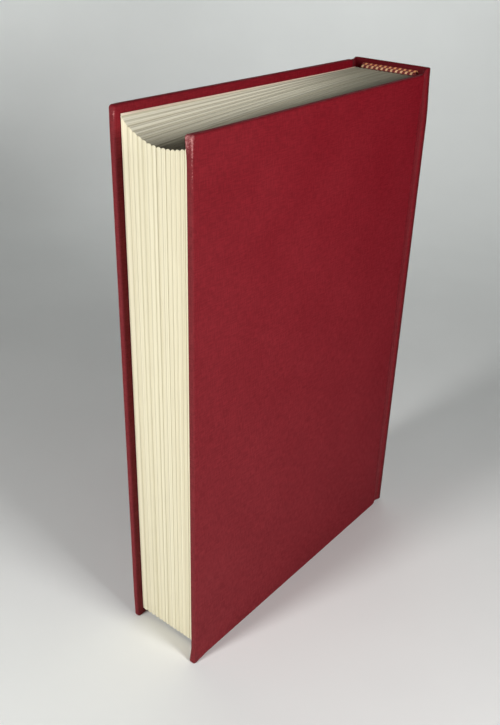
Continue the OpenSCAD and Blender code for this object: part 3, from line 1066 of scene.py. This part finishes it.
nodeFinishes = {
    "sewing_thread": linenThread,
    "spine_gauze": gauzeMaterial,
    "front_gauze_flange": gauzeMaterial,
    "back_gauze_flange": gauzeMaterial,
    "spine_lining": kraftMaterial,
    "back_flyleaf": endpaperMaterial,
    "front_pastedown": endpaperMaterial,
    "back_pastedown": endpaperMaterial,
}
for nodeName, material in nodeFinishes.items():
    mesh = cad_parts[nodeName].data
    mesh.materials.clear()
    mesh.materials.append(material)
print("CAD pieces finished")


# stage, light and camera

coolWhite = (0.97, 1.0, 0.98)
stage = {
    "floor": (0.87, 0.882, 0.878, 1),
    "floorSize": 5.0,
    "wallDistance": 0.45,  # from the book to the foot of the wall's curve
    "wallBend": 0.35,
    "wallHeight": 2.0,
    "world": (0.93, 1.0, 0.97),
    "worldStrength": 0.006,
    "lamps": {  # place, target, width, height, spread, power, colour
        "rightLamp": ((0.38, -0.08, 0.34), (0, 0, 0.14), 0.14, 0.14, 180, 1.38, (1.0, 1.0, 0.985)),
        "foreLamp": ((-0.10, -0.60, 0.28), (0, 0, 0.10), 0.14, 0.16, 180, 2.8, (1.0, 0.995, 0.975)),
        "leftWallLamp": ((-0.60, 0.17, 0.60), (-0.835, 0.36, 0.27), 0.3, 0.2, 70, 0.18, coolWhite),
        "midWallLamp": ((-0.381, 0.463, 0.55), (-0.505, 0.62, 0.22), 0.3, 0.3, 180, 0.68, coolWhite),
        "rightWallLamp": ((-0.106, 0.68, 0.55), (-0.191, 0.868, 0.22), 0.3, 0.3, 180, 0.62, coolWhite),
    },
}
view = {
    "azimuth": 0.66891,
    "elevation": 0.50329,
    "roll": 0.02975,
    "place": (0.20827, -0.28287, 0.30808),
    "lens": 42.51,
}


def makeStage():
    material, tree, shader = newMaterial("paleFloor", 0.75)
    tone = addRange(tree, addNoise(tree, objectPlace(tree), 9.0, 5.0), 0.3, 0.7, 0.97, 1.0)
    pale = addMix(tree, 1.0, stage["floor"], tone, "MULTIPLY")
    tree.links.new(pale, shader.inputs["Base Color"])
    shader.inputs["Specular IOR Level"].default_value = 0.25
    # one strip, away from the camera: floor, quarter bend, wall
    bm = bmesh.new()
    half = stage["floorSize"] / 2
    near = bm.edges.new([bm.verts.new((x, -half, 0)) for x in (-half, half)])
    out = bmesh.ops.extrude_edge_only(bm, edges=[near])["geom"]
    verts = pick(out, BMVert)
    bmesh.ops.translate(bm, vec=(0, half + stage["wallDistance"], 0), verts=verts)
    out = bmesh.ops.spin(bm, geom=verts + pick(out, BMEdge), axis=(1, 0, 0),
                         cent=(0, stage["wallDistance"], stage["wallBend"]),
                         angle=math.pi / 2, steps=24)["geom_last"]
    out = bmesh.ops.extrude_edge_only(bm, edges=pick(out, BMEdge))["geom"]
    bmesh.ops.translate(bm, vec=(0, 0, stage["wallHeight"]), verts=pick(out, BMVert))
    bmesh.ops.rotate(bm, cent=(0, 0, 0), matrix=Matrix.Rotation(view["azimuth"], 3, "Z"),
                     verts=bm.verts)
    sweep = pieceFrom(bm, "floorAndBackdrop", [material], 60)


def makeLight():
    world = bpy.data.worlds.new("softRoom")
    world.use_nodes = True
    background = world.node_tree.nodes["Background"]
    background.inputs["Color"].default_value = (*stage["world"], 1)
    background.inputs["Strength"].default_value = stage["worldStrength"]
    bpy.context.scene.world = world
    for name, (place, target, width, height, spread, power, colour) in stage["lamps"].items():
        lamp = bpy.data.lights.new(name, "AREA")
        lamp.shape = "ELLIPSE"
        lamp.size = width
        lamp.size_y = height
        lamp.spread = math.radians(spread)
        lamp.energy = power
        lamp.color = colour
        holder = bpy.data.objects.new(name, lamp)
        bpy.context.scene.collection.objects.link(holder)
        holder.location = place
        towards = Vector(target) - Vector(place)
        holder.rotation_euler = towards.to_track_quat("-Z", "Y").to_euler()


def makeCamera():
    back = Vector((math.sin(view["azimuth"]) * math.cos(view["elevation"]),
                   -math.cos(view["azimuth"]) * math.cos(view["elevation"]),
                   math.sin(view["elevation"])))
    right = Vector((0, 0, 1)).cross(back).normalized()
    up = back.cross(right)
    turn = Matrix.Rotation(view["roll"], 3, back)
    axes = Matrix((turn @ right, turn @ up, back)).transposed()
    camera = bpy.data.objects.new("camera", bpy.data.cameras.new("camera"))
    camera.data.lens = view["lens"]
    camera.matrix_world = Matrix.Translation(view["place"]) @ axes.to_4x4()
    bpy.context.scene.collection.objects.link(camera)
    bpy.context.scene.camera = camera


makeStage()
makeLight()
makeCamera()
bpy.context.scene.view_settings.view_transform = "Standard"
print("stage, light and camera ready")
